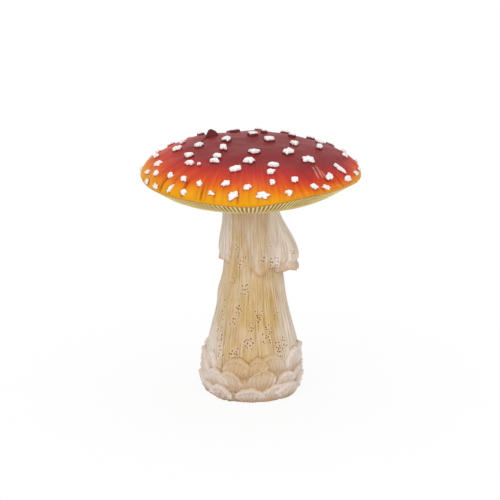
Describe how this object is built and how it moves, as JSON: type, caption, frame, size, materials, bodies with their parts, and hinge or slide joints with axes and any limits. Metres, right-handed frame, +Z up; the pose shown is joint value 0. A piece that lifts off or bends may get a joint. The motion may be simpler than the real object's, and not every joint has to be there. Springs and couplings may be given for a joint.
{
  "type": "mushroom ornament",
  "caption": "Standing fly-agaric mushroom ornament: red domed cap with white warts, fine gills, torn skirt and a fibrous stem on a scaly bulb with a flat foot.",
  "frame": {"origin": "centre of the foot, on the surface that the ornament stands on", "axes": "+Z up along the stem, -Y towards the side seen in the picture, +X to that view's right"},
  "size_m": [0.1249, 0.1244, 0.1501],
  "materials": {
    "cap_paint": "satin",
    "gill_paint": "matte",
    "stem_paint": "matte",
    "skirt_paint": "matte",
    "scale_paint": "matte",
    "wart_paint": "matte",
    "bond": "matte"
  },
  "bodies": {
    "root": {"stem": "stem_paint", "gill_disc": "gill_paint", "cap_shell": "cap_paint", "neck_bond_ring": "bond", "rim_bond_ring": "bond", "skirt_flap_front": "skirt_paint", "skirt_flap_right": "skirt_paint", "skirt_flap_back_right": "skirt_paint", "skirt_flap_back_left": "skirt_paint", "skirt_flap_left": "skirt_paint", "scale_lower_01": "scale_paint", "scale_lower_02": "scale_paint", "scale_lower_03": "scale_paint", "scale_lower_04": "scale_paint", "scale_lower_05": "scale_paint", "scale_lower_06": "scale_paint", "scale_lower_07": "scale_paint", "scale_lower_08": "scale_paint", "scale_lower_09": "scale_paint", "scale_lower_10": "scale_paint", "scale_lower_11": "scale_paint", "scale_lower_12": "scale_paint", "scale_middle_01": "scale_paint", "scale_middle_02": "scale_paint", "scale_middle_03": "scale_paint", "scale_middle_04": "scale_paint", "scale_middle_05": "scale_paint", "scale_middle_06": "scale_paint", "scale_middle_07": "scale_paint", "scale_middle_08": "scale_paint", "scale_middle_09": "scale_paint", "scale_middle_10": "scale_paint", "scale_middle_11": "scale_paint", "scale_middle_12": "scale_paint", "scale_upper_01": "scale_paint", "scale_upper_02": "scale_paint", "scale_upper_03": "scale_paint", "scale_upper_04": "scale_paint", "scale_upper_05": "scale_paint", "scale_upper_06": "scale_paint", "scale_upper_07": "scale_paint", "scale_upper_08": "scale_paint", "scale_upper_09": "scale_paint", "scale_upper_10": "scale_paint", "scale_upper_11": "scale_paint", "scale_upper_12": "scale_paint", "crown_warts": "wart_paint", "upper_warts": "wart_paint", "middle_warts": "wart_paint", "shoulder_warts": "wart_paint", "rim_warts": "wart_paint"}
  },
  "joints": []
}
